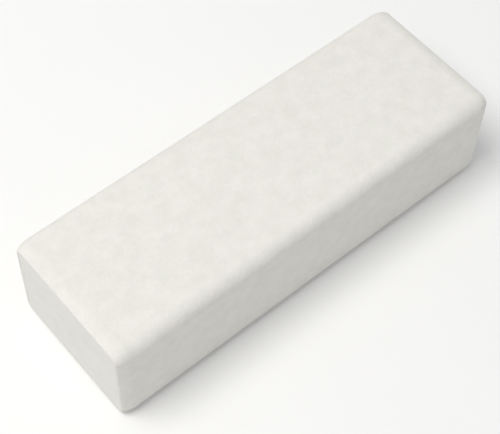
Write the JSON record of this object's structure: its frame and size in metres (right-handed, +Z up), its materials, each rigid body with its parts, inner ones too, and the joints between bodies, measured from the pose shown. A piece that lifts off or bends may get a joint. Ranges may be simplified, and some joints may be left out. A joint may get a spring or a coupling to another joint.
{
  "type": "nail buffer block",
  "caption": "Hand-held nail buffing block: a light foam core with white abrasive sheet bonded round its long faces, rounded long edges and bare, square-cut ends.",
  "frame": {"origin": "centre of the base, on the abrasive of the bottom sheet", "axes": "+X along the block towards its far end, +Y across it towards the back strip, +Z up towards the top sheet"},
  "size_m": [0.1, 0.035, 0.025],
  "materials": {
    "white_abrasive": "matte",
    "backing_paper": "matte",
    "adhesive": "satin",
    "white_foam": "matte"
  },
  "bodies": {
    "root": {"foam_core": "white_foam", "top_abrasive_coat": "white_abrasive", "top_backing_sheet": "backing_paper", "top_adhesive_film": "adhesive", "bottom_abrasive_coat": "white_abrasive", "bottom_backing_sheet": "backing_paper", "bottom_adhesive_film": "adhesive", "front_abrasive_coat": "white_abrasive", "front_backing_sheet": "backing_paper", "front_adhesive_film": "adhesive", "back_abrasive_coat": "white_abrasive", "back_backing_sheet": "backing_paper", "back_adhesive_film": "adhesive"}
  },
  "joints": []
}
